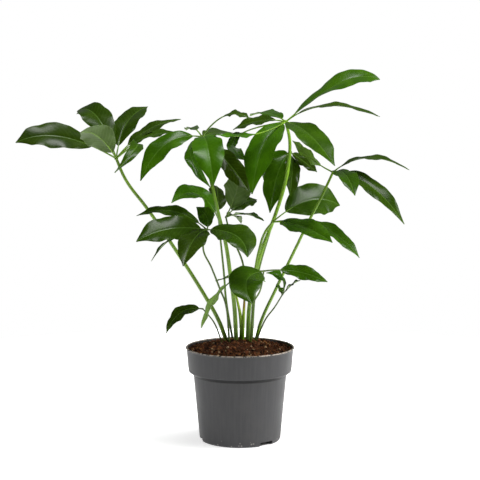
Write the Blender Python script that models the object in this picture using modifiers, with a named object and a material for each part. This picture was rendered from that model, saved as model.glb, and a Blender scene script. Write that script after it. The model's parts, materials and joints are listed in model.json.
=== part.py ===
"""Potted philodendron: a grey nursery pot, its potting mix, one new shoot and the compound leaves.

Metres, +Z up. The origin is the middle of the pot's underside, and the front of the pot looks along -Y.
Every leaf is one solid: a petiole that stands in a hole in the mix, and the leaflets around its top.
"""

import math
import random

import bmesh
import bpy
from mathutils import Quaternion, Vector

MM = 0.001
GAP = 0.3 * MM
MERGE_DISTANCE = 0.0001
SEED = 17

# Pot, in millimetres
POT_HEIGHT = 148.0
LIP_RADIUS = 85.0
LIP_BEAD = 2.4
LIP_ROUNDING = 0.7
BAND_TOP_RADIUS = 83.7
BAND_BOTTOM_RADIUS = 80.7
BAND_HEIGHT = 36.0
LEDGE_HEIGHT = 5.0
WALL_TOP_RADIUS = 73.0
FOOT_RADIUS = 63.3
FOOT_ROUNDING = 4.0
SOFT_EDGE = 1.0
WALL = 1.6
FLOOR = 2.2
POT_STEPS = 48
NOTCH_WIDTH = 25.0
NOTCH_HEIGHT = 7.0
NOTCH_DEPTH = 16.0
NOTCH_ANGLES = (41.0, 161.0, 281.0)

# Potting mix, in millimetres
SOIL_EDGE_BELOW_RIM = 4.5
SOIL_MOUND = 13.0
SOIL_LEAN = 0.18
SOIL_RELIEF = 1.3
SOIL_RINGS = 6
SOIL_STEPS = 36
SOIL_FOOT_CHAMFER = 9.0
STEM_DEPTH = 16.0
HOLE_CLEARANCE = 0.7
HOLE_SIDES = 12

# Leaf blades, in millimetres and degrees
BLADE_THICKNESS = 0.8
BLADE_ROWS = 6
BLADE_COLUMNS = 4
NARROW_BLADE = 30.0
FOLD = 15.0
EDGE_DROP = 0.16
WAVE_HEIGHT = 2.0
WAVES = 2.3
EDGE_NOTCHES = 3.4
EDGE_NOTCH_DEPTH = 0.035
BLADE_END = 0.9
BLADE_SKEW = 0.9
BLADE_FULLNESS = 0.68
POINT_START = 0.8
POINT_TAPER = 0.5
WAVE_LAG = 0.9
SLOPE_STEP = 0.02
STALK_RADIUS = (1.35, 0.95)
STALK_OVERLAP = 0.1
HUB_SWELL = 1.35
THIN_STEM = 2.0
SMOOTH_STEM_ANGLE = 50.0
SMOOTH_POT_ANGLE = 30.0
SMOOTH_SOIL_ANGLE = 35.0
TWO_PI = 2.0 * math.pi


def leaflet(tip, face, width, stalk, bow, twist=0.0):
    """One leaflet, from its leaf's hub to its tip.

    The upper side looks towards face, and turns on by the twist from the stalk to the tip. The bow is how far
    the middle of its line stands off the straight one. Sizes are millimetres, and the twist is degrees.
    """
    return {"tip": tip, "face": face, "width": width, "stalk": stalk, "bow": bow, "twist": twist}


# A stem's points run from the mix to the leaf's hub. A radius pair is at the mix and at the hub.
LEAVES = {
    "leaf_far_left": {
        "stem": [(-23, 20, 158), (-33, 18, 185), (-56, 12, 228), (-107, 0, 311), (-144, -15, 368),
                 (-175, -25, 412), (-189, -30, 445)],
        "radius": (3.5, 2.2),
        "leaflets": [
            leaflet((-338, -60, 471), (-0.1, -1.0, 0.9), 50, 32, (-8, 0, 21)),
            leaflet((-257, 60, 513), (0.2, -0.9, 0.8), 48, 18, (1, 0, 28)),
            leaflet((-234, -120, 490), (-0.5, 0.8, 1.0), 46, 12, (0, 0, 13)),
            leaflet((-146, 70, 520), (-0.3, -0.8, 0.7), 42, 20, (-8, 0, 14)),
            leaflet((-92, 30, 502), (0.0, -0.25, 1.0), 30, 26, (-4, 0, 12)),
            leaflet((-90, -10, 482), (0.0, -0.22, 1.0), 34, 28, (-4, 0, 14)),
            leaflet((-183, -140, 432), (0.5, -0.5, 0.8), 20, 22, (34, 0, 32)),
        ],
    },
    "leaf_left_high": {
        "stem": [(-6, 12, 159), (-9, 9, 212), (-15, 2, 261), (-22, -5, 310), (-35, -15, 366),
                 (-43, -23, 404), (-58, -30, 478)],
        "radius": (3.6, 2.4),
        "leaflets": [
            leaflet((-39, -122, 412), (0.0, -1.0, 0.6), 49, 14, (0, -8, 22)),
            leaflet((-149, -80, 415), (-0.2, -0.8, 0.9), 40, 14, (-8, 0, 22)),
            leaflet((-44, -92, 406), (-0.85, -0.45, 0.45), 24, 14, (-24, -4, 14)),
            leaflet((-10, 66, 478), (0.1, -0.35, 1.0), 34, 6, (0, 0, 4)),
            leaflet((15, -46, 506), (0.1, -0.25, 1.0), 28, 36, (0, 0, 19)),
            leaflet((14, -30, 394), (0.5, -1.0, 0.5), 38, 26, (3, 2, 3)),
            leaflet((-86, 90, 482), (-0.1, -0.03, 1.0), 20, 40, (0, 0, 8)),
        ],
    },
    "leaf_top_right": {
        "stem": [(12, 22, 157), (16, 22, 218), (33, 20, 293), (55, 17, 353), (71, 15, 407),
                 (76, 14, 438), (77, 12, 471), (71, 10, 499)],
        "radius": (3.4, 2.3),
        "leaflets": [
            leaflet((220, 60, 563), (-0.3, -0.5, 0.9), 48, 10, (12, 0, 28), 60),
            leaflet((212, -40, 509), (0.0, -0.12, 1.0), 34, 22, (-8, 0, 21)),
            leaflet((140, -112, 440), (0.35, -0.9, 0.9), 50, 8, (-2, 0, 14)),
            leaflet((18, -80, 395), (-0.5, -1.0, 0.6), 52, 10, (-8, 0, 18)),
            leaflet((16, 100, 504), (0.0, -0.22, 1.0), 36, 12, (0, 0, 9)),
            leaflet((-11, 22, 486), (-0.1, -0.4, 1.0), 34, 16, (0, 0, 8)),
            leaflet((-39, -62, 484), (0.1, -0.15, 1.0), 26, 62, (4, -20, -9)),
            leaflet((10, 34, 438), (-0.8, -0.6, 0.5), 32, 36, (-46, 0, 6)),
        ],
    },
    "leaf_far_right": {
        "stem": [(26, 27, 156), (33, 26, 182), (56, 24, 234), (85, 19, 296), (111, 15, 351),
                 (126, 15, 380), (145, 20, 420)],
        "radius": (2.8, 1.9),
        "leaflets": [
            leaflet((262, 0, 425), (0.0, -0.14, 1.0), 29, 12, (-4, 0, 21)),
            leaflet((251, -40, 345), (0.6, -0.9, 0.7), 36, 10, (4, 0, 18)),
            leaflet((173, -70, 392), (0.3, -1.0, 0.5), 36, 12, (2, 0, 14)),
            leaflet((83, 60, 467), (0.2, 0.6, 0.7), 30, 24, (-2, 0, -4)),
        ],
    },
    "leaf_left_low": {
        "stem": [(-17, 2, 159), (-22, 0, 214), (-31, -15, 241), (-44, -35, 278), (-56, -50, 308),
                 (-50, -70, 340)],
        "radius": (1.7, 1.3),
        "leaflets": [
            leaflet((-158, -40, 358), (-0.2, -0.4, 0.9), 27, 14, (2, 0, 18)),
            leaflet((-154, -112, 327), (-0.3, -0.9, 0.8), 50, 8, (-4, 0, 10)),
            leaflet((-135, -62, 291), (-0.8, -0.1, 0.8), 24, 18, (-6, 0, 14)),
            leaflet((-83, -160, 297), (-0.3, -1.0, 0.8), 44, 7, (-2, 0, 12)),
            leaflet((11, -150, 309), (0.2, -0.8, 0.9), 52, 5, (14, 0, 11)),
            leaflet((-67, -26, 370), (-0.4, -0.6, 0.7), 26, 6, (8, 0, 2)),
        ],
    },
    "leaf_right_low": {
        "stem": [(14, 8, 158), (16, 8, 220), (24, 8, 269), (30, 5, 300), (39, 2, 328), (51, 2, 344)],
        "radius": (2.4, 1.8),
        "leaflets": [
            leaflet((161, 100, 360), (0.1, -1.0, 0.55), 60, 25, (4, 6, 20)),
            leaflet((138, -98, 324), (0.1, -0.7, 0.9), 42, 18, (0, 0, 9)),
            leaflet((183, -38, 293), (0.3, -0.5, 0.9), 36, 44, (9, -8, 21)),
        ],
    },
    "leaf_front_low": {
        "stem": [(17, -4, 160), (19, -14, 195), (20, -30, 220), (31, -50, 245), (36, -70, 277)],
        "radius": (1.6, 1.2),
        "leaflets": [
            leaflet((133, -60, 259), (0.1, -0.8, 0.8), 28, 26, (0, 0, 8)),
            leaflet((18, -160, 242), (-0.1, -1.0, 0.7), 56, 5, (-17, -4, 10)),
            leaflet((-59, -80, 190), (-0.4, 0.4, 0.9), 26, 62, (-10, 0, 22)),
            leaflet((-38, -64, 261), (0.0, 0.1, 1.0), 20, 30, (0, 0, 2)),
        ],
    },
    "leaf_inner_right": {
        "stem": [(18, 38, 154), (26, 44, 247), (45, 50, 318), (61, 58, 365), (73, 65, 403),
                 (80, 70, 448)],
        "radius": (2.8, 2.0),
        "leaflets": [
            leaflet((38, 84, 402), (-0.6, -0.8, 0.6), 38, 4, (-6, 2, 5)),
            leaflet((122, 62, 417), (0.4, -0.8, 0.8), 26, 4, (0, 0, 1)),
            leaflet((47, 34, 355), (-0.3, -1.0, 0.3), 42, 10, (-4, -6, 14)),
            leaflet((78, 30, 382), (0.5, -0.9, 0.2), 30, 8, (3, -2, 4)),
        ],
    },
    "leaf_centre": {
        "stem": [(-12, 24, 157), (-22, 20, 219), (-25, 16, 259), (-28, 12, 291), (-31, 9, 322),
                 (-33, 8, 347)],
        "radius": (1.8, 1.4),
        "leaflets": [
            leaflet((-103, -72, 381), (-0.2, -0.8, 0.75), 41, 10, (2, 4, 27)),
            leaflet((-37, 60, 395), (0.6, -0.6, 0.6), 34, 14, (0, 0, 8)),
        ],
    },
    "leaf_centre_back": {
        "stem": [(5, 32, 155), (7, 27, 233), (5, 22, 274), (-8, 18, 309), (-17, 16, 330), (-22, 15, 350)],
        "radius": (1.8, 1.3),
        "leaflets": [
            leaflet((-5, 0, 416), (0.5, 0.9, 0.5), 46, 12, (8, 0, 8)),
            leaflet((37, -20, 348), (0.0, 0.08, 1.0), 30, 14, (0, 0, 8)),
            leaflet((2, 80, 333), (0.1, -0.4, 1.0), 22, 12, (0, 0, 8)),
            leaflet((27, 60, 373), (0.1, -0.5, 1.0), 34, 14, (0, 0, 8)),
        ],
    },
    "leaf_small_right": {
        "stem": [(27, 4, 159), (39, -8, 191), (54, -25, 215), (65, -40, 236)],
        "radius": (1.3, 1.0),
        "leaflets": [
            leaflet((40, -62, 273), (0.7, -0.4, 0.8), 24, 4, (12, 0, 8)),
            leaflet((92, -50, 260), (0.2, -0.2, 1.0), 18, 4, (0, 0, 4)),
            leaflet((57, -18, 249), (0.6, -0.4, 0.9), 12, 3, (0, 0, 2)),
        ],
    },
    "leaf_small_left": {
        "stem": [(-30, 2, 159), (-39, -10, 185), (-48, -25, 201), (-57, -40, 214)],
        "radius": (1.2, 1.0),
        "leaflets": [
            leaflet((-113, -50, 178), (-0.5, -0.7, 0.8), 26, 5, (-6, 0, 13)),
        ],
    },
}

# The new shoot: a sheath that splits into two pointed tongues. Points run upwards, each with a radius.
SHOOT_LEFT = [(2, 16, 158), (1, 15, 190), (-5, 13, 222), (-11, 11, 247)]
SHOOT_RIGHT = [(4, 15, 158), (5, 15, 186), (6, 16, 206), (6, 16, 221)]
SHOOT_RADII = (2.9, 2.7, 1.7, 0.6)


def clear_scene():
    for obj in list(bpy.data.objects):
        bpy.data.objects.remove(obj, do_unlink=True)


def new_collection(name):
    found = bpy.data.collections.new(name)
    bpy.context.scene.collection.children.link(found)
    return found


def material(name, colour, roughness):
    made = bpy.data.materials.new(name)
    made.use_nodes = True
    shader = made.node_tree.nodes["Principled BSDF"]
    shader.inputs["Base Color"].default_value = (*colour, 1.0)
    shader.inputs["Roughness"].default_value = roughness
    return made


def pot_plastic():
    return material("grey_pot_plastic", (0.10, 0.10, 0.105), 0.45)


def potting_mix():
    return material("potting_mix", (0.035, 0.014, 0.008), 0.95)


def leaf_green():
    return material("leaf_green", (0.030, 0.150, 0.012), 0.28)


def shoot_green():
    return material("shoot_green", (0.180, 0.290, 0.030), 0.40)


def mesh_object(name, mesh, collection):
    obj = bpy.data.objects.new(name, mesh)
    collection.objects.link(obj)
    return obj


def bake(obj):
    """Gives the object its evaluated mesh and drops its modifiers."""
    view = bpy.context.evaluated_depsgraph_get()
    view.update()
    mesh = bpy.data.meshes.new_from_object(obj.evaluated_get(view))
    obj.modifiers.clear()
    obj.data = mesh


def screw(obj, steps):
    turn = obj.modifiers.new("Turn", "SCREW")
    turn.steps = steps
    turn.render_steps = steps
    turn.use_merge_vertices = True
    turn.merge_threshold = MERGE_DISTANCE


def turned(name, profile, steps, collection):
    """A solid turned from a profile of (radius, height) pairs in millimetres, top to bottom outside."""
    mesh = bpy.data.meshes.new(name)
    points = [(r * MM, 0.0, z * MM) for r, z in profile]
    joints = [(i, i + 1) for i in range(len(points) - 1)]
    mesh.from_pydata(points, joints, [])
    obj = mesh_object(name, mesh, collection)
    screw(obj, steps)
    bake(obj)
    return obj


def cut(obj, collection):
    """Cuts every object of a collection out of this one."""
    change = obj.modifiers.new("Cut", "BOOLEAN")
    change.operation = "DIFFERENCE"
    change.operand_type = "COLLECTION"
    change.collection = collection
    change.solver = "EXACT"
    bake(obj)


def joined(obj, collection):
    """Unites every object of a collection with this one, then removes them and the collection."""
    change = obj.modifiers.new("Join", "BOOLEAN")
    change.operation = "UNION"
    change.operand_type = "COLLECTION"
    change.collection = collection
    change.solver = "EXACT"
    bake(obj)
    for part in list(collection.objects):
        bpy.data.objects.remove(part, do_unlink=True)
    bpy.data.collections.remove(collection)


def as_cutter(obj):
    obj.hide_render = True
    obj.display_type = "WIRE"


def smooth(obj, angle):
    obj.data.shade_smooth()
    obj.data.set_sharp_from_angle(angle=math.radians(angle))


def lerp(a, b, t):
    return a + (b - a) * t


def mm_point(point):
    return Vector(point) * MM


def pot_outer_radius(z):
    """The lower wall's outer radius at a height, both in millimetres."""
    ledge = POT_HEIGHT - LIP_BEAD - BAND_HEIGHT - LEDGE_HEIGHT
    return lerp(FOOT_RADIUS, WALL_TOP_RADIUS, z / ledge)


def pot_profile():
    """The pot's section: lip, band, ledge and wall down the outside, floor, then up the inside."""
    band_top = POT_HEIGHT - LIP_BEAD
    band_foot = band_top - BAND_HEIGHT
    ledge = band_foot - LEDGE_HEIGHT
    outside = [
        (LIP_RADIUS - LIP_ROUNDING, POT_HEIGHT),
        (LIP_RADIUS, POT_HEIGHT - LIP_ROUNDING),
        (LIP_RADIUS, band_top + LIP_ROUNDING / 2.0),
        (BAND_TOP_RADIUS, band_top - LIP_ROUNDING),
        (BAND_BOTTOM_RADIUS, band_foot + SOFT_EDGE),
        (BAND_BOTTOM_RADIUS - SOFT_EDGE, band_foot),
        (WALL_TOP_RADIUS + SOFT_EDGE / 2.0, ledge + SOFT_EDGE / 2.0),
        (WALL_TOP_RADIUS, ledge),
        (pot_outer_radius(FOOT_ROUNDING), FOOT_ROUNDING),
        (FOOT_RADIUS - SOFT_EDGE, SOFT_EDGE),
        (FOOT_RADIUS - FOOT_ROUNDING, 0.0),
        (0.0, 0.0),
    ]
    inside = [
        (0.0, FLOOR),
        (FOOT_RADIUS - FOOT_ROUNDING - WALL, FLOOR),
        (pot_outer_radius(FOOT_ROUNDING + FLOOR) - WALL, FOOT_ROUNDING + FLOOR),
        (WALL_TOP_RADIUS - WALL, ledge + SOFT_EDGE),
        (BAND_BOTTOM_RADIUS - WALL, band_foot + 2.0 * SOFT_EDGE),
        (BAND_TOP_RADIUS - WALL, POT_HEIGHT - LIP_ROUNDING),
        (BAND_TOP_RADIUS - WALL + LIP_ROUNDING, POT_HEIGHT),
    ]
    return outside + inside + outside[:1]


def drain_notch(angle, collection):
    """A block that cuts one drain notch through the foot of the wall; angle 0 is the front."""
    bpy.ops.mesh.primitive_cube_add(size=1.0)
    block = bpy.context.object
    block.name = f"notch_{angle:.0f}"
    for owner in list(block.users_collection):
        owner.objects.unlink(block)
    collection.objects.link(block)
    for corner in block.data.vertices:
        corner.co.x *= NOTCH_WIDTH * MM
        corner.co.y *= NOTCH_DEPTH * MM
        corner.co.z *= 2.0 * NOTCH_HEIGHT * MM
    turn = math.radians(angle)
    block.rotation_euler = (0.0, 0.0, turn)
    block.location = (math.sin(turn) * FOOT_RADIUS * MM, -math.cos(turn) * FOOT_RADIUS * MM, 0.0)
    as_cutter(block)


def make_pot(collection, cutters):
    pot = turned("pot", pot_profile(), POT_STEPS, collection)
    for angle in NOTCH_ANGLES:
        drain_notch(angle, cutters)
    bpy.context.view_layer.update()
    cut(pot, cutters)
    smooth(pot, SMOOTH_POT_ANGLE)
    pot.data.materials.append(pot_plastic())


def soil_height(radius, turn):
    """The mix's surface in millimetres: a low mound that leans to the back, where the stems stand."""
    edge = POT_HEIGHT - SOIL_EDGE_BELOW_RIM
    reach = BAND_TOP_RADIUS - WALL
    share = min(radius / reach, 1.0)
    lean = SOIL_LEAN * share * math.sin(turn)
    rise = (1.0 + math.cos(math.pi * max(0.0, share - lean))) / 2.0
    return edge + SOIL_MOUND * rise * (1.0 - share ** 6)


def soil_profile():
    """The mix's section, one gap inside the pot."""
    gap = GAP / MM
    ledge = POT_HEIGHT - LIP_BEAD - BAND_HEIGHT - LEDGE_HEIGHT
    edge = BAND_TOP_RADIUS - WALL - 2.0 * gap
    top = [(edge * i / SOIL_RINGS, POT_HEIGHT - SOIL_EDGE_BELOW_RIM) for i in range(SOIL_RINGS + 1)]
    wall_foot = FLOOR + gap + SOIL_FOOT_CHAMFER
    side = [
        (BAND_BOTTOM_RADIUS - WALL - 2.0 * gap, ledge + LEDGE_HEIGHT + 2.0 * SOFT_EDGE + gap),
        (WALL_TOP_RADIUS - WALL - 2.0 * gap, ledge + SOFT_EDGE + gap),
        (pot_outer_radius(wall_foot) - WALL - 2.0 * gap, wall_foot),
        (FOOT_RADIUS - FOOT_ROUNDING - WALL - SOIL_FOOT_CHAMFER, FLOOR + gap),
        (0.0, FLOOR + gap),
    ]
    return top + side


def shape_soil_top(soil):
    """Raises the mound and roughens it, ring by ring."""
    chance = random.Random(SEED)
    level = (POT_HEIGHT - SOIL_EDGE_BELOW_RIM) * MM
    for vertex in soil.data.vertices:
        if vertex.co.z < level - GAP:
            continue
        radius = math.hypot(vertex.co.x, vertex.co.y) / MM
        turn = math.atan2(vertex.co.y, vertex.co.x)
        rough = chance.uniform(-SOIL_RELIEF, SOIL_RELIEF)
        vertex.co.z = (soil_height(radius, turn) + rough) * MM


def stem_hole(name, points, radius, collection):
    """A plain blind hole along a stem's lowest stretch."""
    foot = mm_point(points[0])
    along = (mm_point(points[1]) - foot).normalized()
    low = foot - along * (STEM_DEPTH * MM + 2.0 * GAP)
    high = foot + along * STEM_DEPTH * MM
    span = high - low
    mesh = bpy.data.meshes.new(name)
    form = bmesh.new()
    bmesh.ops.create_cone(form, cap_ends=True, segments=HOLE_SIDES, depth=span.length,
                          radius1=(radius + HOLE_CLEARANCE) * MM, radius2=(radius + HOLE_CLEARANCE) * MM)
    form.to_mesh(mesh)
    form.free()
    hole = mesh_object(name, mesh, collection)
    hole.rotation_mode = "QUATERNION"
    hole.rotation_quaternion = span.to_track_quat("Z", "Y")
    hole.location = (low + high) / 2.0
    as_cutter(hole)


def make_soil(collection, cutters):
    soil = turned("potting_mix", soil_profile(), SOIL_STEPS, collection)
    shape_soil_top(soil)
    for name, leaf in LEAVES.items():
        stem_hole(f"{name}_hole", leaf["stem"], leaf["radius"][0], cutters)
    stem_hole("shoot_left_hole", SHOOT_LEFT, SHOOT_RADII[0], cutters)
    stem_hole("shoot_right_hole", SHOOT_RIGHT, SHOOT_RADII[0], cutters)
    bpy.context.view_layer.update()
    cut(soil, cutters)
    smooth(soil, SMOOTH_SOIL_ANGLE)
    soil.data.materials.append(potting_mix())


def tube(name, points, radii, collection, rounding=2, smooth_path=True):
    """A tapering rod through points in metres, as a closed mesh; more rounding gives it more sides."""
    curve = bpy.data.curves.new(f"{name}_curve", "CURVE")
    curve.dimensions = "3D"
    curve.bevel_depth = 1.0
    curve.bevel_resolution = rounding
    curve.use_fill_caps = True
    curve.resolution_u = 2
    kind = "BEZIER" if smooth_path else "POLY"
    line = curve.splines.new(kind)
    if smooth_path:
        line.bezier_points.add(len(points) - 1)
        for knot, point, radius in zip(line.bezier_points, points, radii):
            knot.co = point
            knot.radius = radius
            knot.handle_left_type = "AUTO"
            knot.handle_right_type = "AUTO"
    else:
        line.points.add(len(points) - 1)
        for knot, point, radius in zip(line.points, points, radii):
            knot.co = (*point, 1.0)
            knot.radius = radius
    rod = bpy.data.objects.new(f"{name}_curve", curve)
    collection.objects.link(rod)
    view = bpy.context.evaluated_depsgraph_get()
    view.update()
    mesh = bpy.data.meshes.new_from_object(rod.evaluated_get(view))
    form = bmesh.new()
    form.from_mesh(mesh)
    bmesh.ops.remove_doubles(form, verts=form.verts, dist=MERGE_DISTANCE / 10.0)
    form.to_mesh(mesh)
    form.free()
    made = bpy.data.objects.new(name, mesh)
    made.matrix_world = rod.matrix_world
    bpy.data.objects.remove(rod, do_unlink=True)
    collection.objects.link(made)
    return made


def buried(points):
    """A stem's points with one more below, where it stands in the mix."""
    foot = mm_point(points[0])
    along = (mm_point(points[1]) - foot).normalized()
    return [foot - along * STEM_DEPTH * MM] + [mm_point(p) for p in points]


def midrib(hub, spec, s):
    """The point at share s of a leaflet's bowed line from the hub to its tip."""
    tip = mm_point(spec["tip"])
    bend = (hub + tip) / 2.0 + 2.0 * mm_point(spec["bow"])
    return hub * (1.0 - s) ** 2 + bend * 2.0 * s * (1.0 - s) + tip * s * s


def blade_shape(u):
    """Half of a blade's width at share u of its length, as a share of its greatest half width."""
    body = math.sin(math.pi * u ** BLADE_SKEW) ** BLADE_FULLNESS if 0.0 < u < 1.0 else 0.0
    drawn_out = max(0.0, (u - POINT_START) / (1.0 - POINT_START))
    return body * (1.0 - POINT_TAPER * drawn_out)


def blade_frame(hub, spec, u):
    """The midrib's point at share u of a blade, and its directions along, across and up."""
    length = (mm_point(spec["tip"]) - hub).length
    s = lerp(spec["stalk"] * MM / length, 1.0, u)
    along = (midrib(hub, spec, s + SLOPE_STEP) - midrib(hub, spec, s - SLOPE_STEP)).normalized()
    flat = Vector(spec["face"]).cross(along).normalized()
    side = Quaternion(along, math.radians(spec["twist"]) * (u - 0.5)) @ flat
    return midrib(hub, spec, s), along, side, along.cross(side)


def blade_point(hub, spec, phase, u, v):
    """A blade's point at share u along it and v across it, from -1 to 1."""
    rib, _along, side, up = blade_frame(hub, spec, u)
    notch = 1.0 + EDGE_NOTCH_DEPTH * math.sin(TWO_PI * EDGE_NOTCHES * u + phase)
    shape = blade_shape(u)
    half = max(spec["width"] / 2.0 * shape * notch, BLADE_END) * MM
    fold = math.radians(FOLD)
    wave = math.sin(TWO_PI * WAVES * u + phase + math.copysign(WAVE_LAG, v)) * WAVE_HEIGHT * MM * shape
    rise = half * (abs(v) * math.sin(fold) - v * v * EDGE_DROP) + wave * v * v
    return rib + side * half * v * math.cos(fold) + up * rise


def make_blade(name, hub, spec, phase, collection):
    """A thin waved blade, triangulated before it gets its thickness."""
    mesh = bpy.data.meshes.new(name)
    form = bmesh.new()
    rows = BLADE_ROWS if spec["width"] > NARROW_BLADE else BLADE_ROWS - 1
    bmesh.ops.create_grid(form, x_segments=rows, y_segments=BLADE_COLUMNS, size=1.0)
    for vertex in form.verts:
        u = (vertex.co.x + 1.0) / 2.0
        vertex.co = blade_point(hub, spec, phase, u, vertex.co.y)
    bmesh.ops.triangulate(form, faces=form.faces)
    form.to_mesh(mesh)
    form.free()
    blade = mesh_object(name, mesh, collection)
    shell = blade.modifiers.new("Thickness", "SOLIDIFY")
    shell.thickness = BLADE_THICKNESS * MM
    shell.offset = 0.0
    bake(blade)


def make_stalk(name, hub, spec, collection):
    """A leaflet's short stalk, run on a little way under its blade."""
    length = (mm_point(spec["tip"]) - hub).length
    end = spec["stalk"] * MM / length + STALK_OVERLAP
    shares = (0.0, 0.5, 1.0)
    points = [midrib(hub, spec, end * share) for share in shares]
    radii = [lerp(STALK_RADIUS[0], STALK_RADIUS[1], share) * MM for share in shares]
    tube(name, points, radii, collection, rounding=1, smooth_path=False)


def make_leaf(name, leaf, collection, chance, green):
    """One compound leaf: the petiole with its leaflets joined on."""
    points = buried(leaf["stem"])
    last = len(points) - 1
    base, top = leaf["radius"]
    radii = [lerp(base, top, i / last) * MM for i in range(last + 1)]
    radii[-1] = top * HUB_SWELL * MM
    rounding = 2 if base > THIN_STEM else 1
    obj = tube(name, points, radii, collection, rounding)
    parts = new_collection(f"{name}_parts")
    hub = mm_point(leaf["stem"][-1])
    for number, spec in enumerate(leaf["leaflets"], start=1):
        phase = chance.uniform(0.0, TWO_PI)
        make_stalk(f"{name}_stalk_{number}", hub, spec, parts)
        make_blade(f"{name}_blade_{number}", hub, spec, phase, parts)
    bpy.context.view_layer.update()
    joined(obj, parts)
    smooth(obj, SMOOTH_STEM_ANGLE)
    obj.data.materials.append(green)


def make_shoot(collection):
    """The new shoot: two pointed tongues that share a sheath at their feet."""
    radii = [radius * MM for radius in (SHOOT_RADII[0], *SHOOT_RADII)]
    shoot = tube("new_shoot", buried(SHOOT_LEFT), radii, collection)
    parts = new_collection("new_shoot_parts")
    tube("new_shoot_right", buried(SHOOT_RIGHT), radii, parts)
    bpy.context.view_layer.update()
    joined(shoot, parts)
    smooth(shoot, SMOOTH_STEM_ANGLE)
    shoot.data.materials.append(shoot_green())


def main():
    clear_scene()
    plant = new_collection("potted_philodendron")
    pot_cutters = new_collection("pot_cutters")
    soil_cutters = new_collection("soil_cutters")
    make_pot(plant, pot_cutters)
    make_soil(plant, soil_cutters)
    chance = random.Random(SEED)
    green = leaf_green()
    for name, leaf in LEAVES.items():
        make_leaf(name, leaf, plant, chance, green)
    make_shoot(plant)


main()
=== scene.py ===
"""Looks of the potted philodendron: finer pot, mix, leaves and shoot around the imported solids.

Metres, +Z up, in the solids' own frame: the origin is the middle of the pot's underside, and its front
looks along -Y. Sizes in the tables are millimetres. Each leaf repeats the solids' table, functions and seed,
so that its leaflets lie where the solids have them, with more faces, veins and a stronger edge.
"""

import json
import math
import random

import bmesh
import bpy
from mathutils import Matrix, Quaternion, Vector, noise

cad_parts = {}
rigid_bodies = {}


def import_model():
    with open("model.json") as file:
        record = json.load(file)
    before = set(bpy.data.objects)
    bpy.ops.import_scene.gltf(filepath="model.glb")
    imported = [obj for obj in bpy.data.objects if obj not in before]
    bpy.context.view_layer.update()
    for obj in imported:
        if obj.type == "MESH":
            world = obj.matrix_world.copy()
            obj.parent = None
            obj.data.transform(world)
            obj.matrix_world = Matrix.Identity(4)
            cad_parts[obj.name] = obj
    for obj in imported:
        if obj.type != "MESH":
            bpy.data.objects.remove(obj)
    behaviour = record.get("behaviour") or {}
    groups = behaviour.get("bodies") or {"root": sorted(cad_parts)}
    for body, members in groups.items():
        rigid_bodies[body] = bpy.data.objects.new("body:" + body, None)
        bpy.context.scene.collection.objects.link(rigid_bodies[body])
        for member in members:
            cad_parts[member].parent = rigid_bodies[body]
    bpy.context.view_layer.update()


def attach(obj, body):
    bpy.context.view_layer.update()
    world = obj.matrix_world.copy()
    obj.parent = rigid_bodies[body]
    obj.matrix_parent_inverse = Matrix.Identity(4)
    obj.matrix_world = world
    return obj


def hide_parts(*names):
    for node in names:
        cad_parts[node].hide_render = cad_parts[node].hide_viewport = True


MM = 0.001
TWO_PI = 2.0 * math.pi
SEED = 17
LOOKS_SEED = 5
BODY = "root"

# Pot, in millimetres
POT_HEIGHT = 148.0
LIP_RADIUS = 85.0
LIP_BEAD = 2.4
LIP_ROUNDING = 0.7
BAND_TOP_RADIUS = 83.7
BAND_BOTTOM_RADIUS = 80.7
BAND_HEIGHT = 36.0
LEDGE_HEIGHT = 5.0
WALL_TOP_RADIUS = 73.0
FOOT_RADIUS = 63.3
FOOT_ROUNDING = 4.0
SOFT_EDGE = 1.0
WALL = 1.6
FLOOR = 2.2
POT_STEPS = 180
NOTCH_WIDTH = 25.0
NOTCH_HEIGHT = 7.0
NOTCH_DEPTH = 16.0
NOTCH_ANGLES = (41.0, 161.0, 281.0)
NOTCH_ROUNDING = 1.4
CORNER_ROUNDING = 0.9
LEDGE_LEVEL = POT_HEIGHT - LIP_BEAD - BAND_HEIGHT - LEDGE_HEIGHT

# Potting mix, in millimetres
GAP = 0.3
POLE_RADIUS = 0.001
SOIL_EDGE_BELOW_RIM = 4.5
SOIL_MOUND = 13.0
SOIL_LEAN = 0.18
SOIL_FOOT_CHAMFER = 9.0
SOIL_RINGS = 52
SOIL_STEPS = 150
CLUMP_SIZE = 7.0
CLUMP_HEIGHT = 1.6
GRAIN_SIZE = 2.2
GRAIN_HEIGHT = 0.9
STEM_DEPTH = 16.0
HOLE_CLEARANCE = 0.7
HOLE_SIDES = 20
CRUMBS = 2300
CRUMB_SIZE = 0.6
CRUMB_SIZE_SPREAD = 2.3
CRUMB_LIFT = 0.25
FIBRES = 420
FIBRE_LENGTH = (3.0, 11.0)
FIBRE_THICKNESS = (0.16, 0.34)

# Leaf blades, in millimetres and degrees
FOLD = 15.0
EDGE_DROP = 0.16
WAVE_HEIGHT = 2.0
WAVES = 2.3
EDGE_NOTCHES = 3.4
EDGE_NOTCH_DEPTH = 0.035
BLADE_END = 0.9
BLADE_SKEW = 0.9
BLADE_FULLNESS = 0.68
POINT_START = 0.8
POINT_TAPER = 0.5
WAVE_LAG = 0.9
SLOPE_STEP = 0.02
STALK_RADIUS = (1.35, 0.95)
HUB_SWELL = 1.35

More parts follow.
